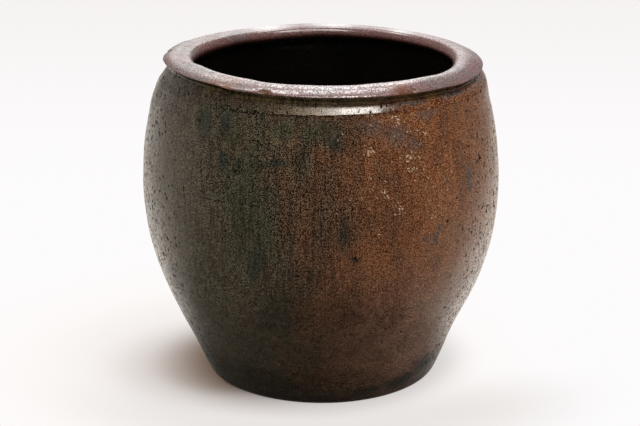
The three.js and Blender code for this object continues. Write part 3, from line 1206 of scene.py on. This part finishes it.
# Painted shadow: the floor's own colour turns brown around the shadow's core.
paint = blend(fade(from_core, 0.04, 0.16), PAINTED_SHADOW_BROWN, PALE_FLOOR)
lit = put(tree, "BsdfDiffuse", {"Color": paint}).outputs[0]
# Painted warm bounce: the floor's white is warmer near the shadow.
bright = blend(fade(from_core, 0.12, 0.42), NEAR_WHITE, WHITE)
bright = blend(fade(depth, 0.6, 2.2), bright, DULL_WHITE)
# Painted shade: just in front of the pot the floor's white is darker.
in_front = product(fade(depth, -0.02, -0.16), fade(distance, 0.36, 0.2))
bright = blend(in_front, bright, FRONT_SHADE_WHITE)
white = put(tree, "Emission", {"Color": bright, "Strength": 1.0}).outputs[0]
rays = put(tree, "LightPath").outputs
to_eye = total(
    fade(from_core, 0.06, 0.17, 0.0, 0.47),
    fade(from_core, 0.14, 0.275, 0.0, 0.14),
    fade(distance, FOOT_EDGE, FOOT_EDGE + 0.076, 0.0, 0.39),
    product(in_front, fade(from_core, 0.06, 0.1, 0.0, 0.2)),
)
to_eye = product(to_eye, rays["Is Camera Ray"])
shown = put(tree, "MixShader", {0: to_eye, 1: lit, 2: white}).outputs[0]
# Painted reflection: to glossy rays the floor glows, dim in front and in the shadow, bright behind.
lit_side = fade(across, 0.165, 0.23, 0.0, 0.2)
near_sweep = product(
    fade(total(depth, lit_side), -0.15, 0.2, 0.1, 1.12),
    fade(from_core, 0.04, 0.14, 0.35, 1.0),
    fade(across, 0.15, 0.3, 1.0, 1.1),
)
far_sweep = fade(depth, -0.6, -0.15, 0.05, 1.0)
sweep = put(tree, "Mix", {0: fade(distance, 0.3, 0.7), 2: near_sweep, 3: far_sweep}).outputs[0]
sweep = product(sweep, fade(across, 0.5, 1.7, 1.0, 0.3))
mirror_image = put(tree, "Emission", {"Color": WARM_WHITE, "Strength": sweep}).outputs[0]
shown = put(tree, "MixShader", {0: rays["Is Glossy Ray"], 1: shown, 2: mirror_image}).outputs[0]
put(tree, "OutputMaterial", {0: shown})

# %% World and softboxes
ROOM_LEVEL = 0.78
ROOM_WHITE = (1, 0.99, 0.985, 1)
ROOM_WARM = (1, 0.9, 0.82, 1)
world = bpy.data.worlds.new("white room")
scene.world = world
world.use_nodes = True
tree = world.node_tree
tree.nodes.clear()
toward = put(tree, "SeparateXYZ", {0: put(tree, "TexCoord").outputs["Generated"]}).outputs
behind = fade(toward["Y"], -0.35, 0.1, 0.04, 0.95)
behind = product(behind, fade(toward["X"], 0.3, 0.9, 1.0, 0.35))
glow = product(
    fade(calc("ABSOLUTE", toward["X"]), 0.18, 0.1, 0.0, 1.2),
    fade(toward["Z"], 0.02, 0.12),
    fade(toward["Z"], 0.5, 0.35),
)
off_middle = calc("ABSOLUTE", calc("SUBTRACT", toward["X"], 0.025))
dim_ends = fade(off_middle, 0.1, 0.22, 1.0, 0.5)
behind = product(behind, total(glow, dim_ends))
rays = put(tree, "LightPath").outputs
level = put(tree, "Mix", {0: rays["Is Glossy Ray"], 2: ROOM_LEVEL, 3: behind}).outputs[0]
warm_left = blend(fade(toward["X"], 0.1, -0.5), ROOM_WHITE, ROOM_WARM)
sky = put(tree, "Background", {"Color": warm_left, "Strength": level}).outputs[0]
put(tree, "OutputWorld", {0: sky})


def softbox(name, place, aim, size, power, shape="DISK"):
    bpy.ops.object.light_add(type="AREA", location=place)
    lamp = bpy.context.object
    lamp.name = name
    lamp.data.shape = shape
    lamp.data.size, lamp.data.size_y = size
    lamp.data.energy = power
    lamp.rotation_euler = (Vector(aim) - Vector(place)).to_track_quat("-Z", "Y").to_euler()
    lamp.visible_camera = False
    return lamp


softbox("top_softbox", (0.45, -0.36, 1.9), (0, 0, 0.1), (0.52, 0.52), 17)
reflectors = [
    softbox("overhead_strip", (-0.12, 0.9, 1.9), (0, 0, 0.36), (1.3, 0.5), 16, "RECTANGLE"),
    softbox("front_reflector", (0.0, -0.72, 1.9), (0, -0.17, 0.34), (1.0, 0.45), 21, "RECTANGLE"),
    softbox("back_reflector", (0.15, 2.4, 1.95), (0, 0, 0.36), (0.9, 0.9), 9),
]
for reflector in reflectors:
    reflector.visible_diffuse = False
print("studio lit")
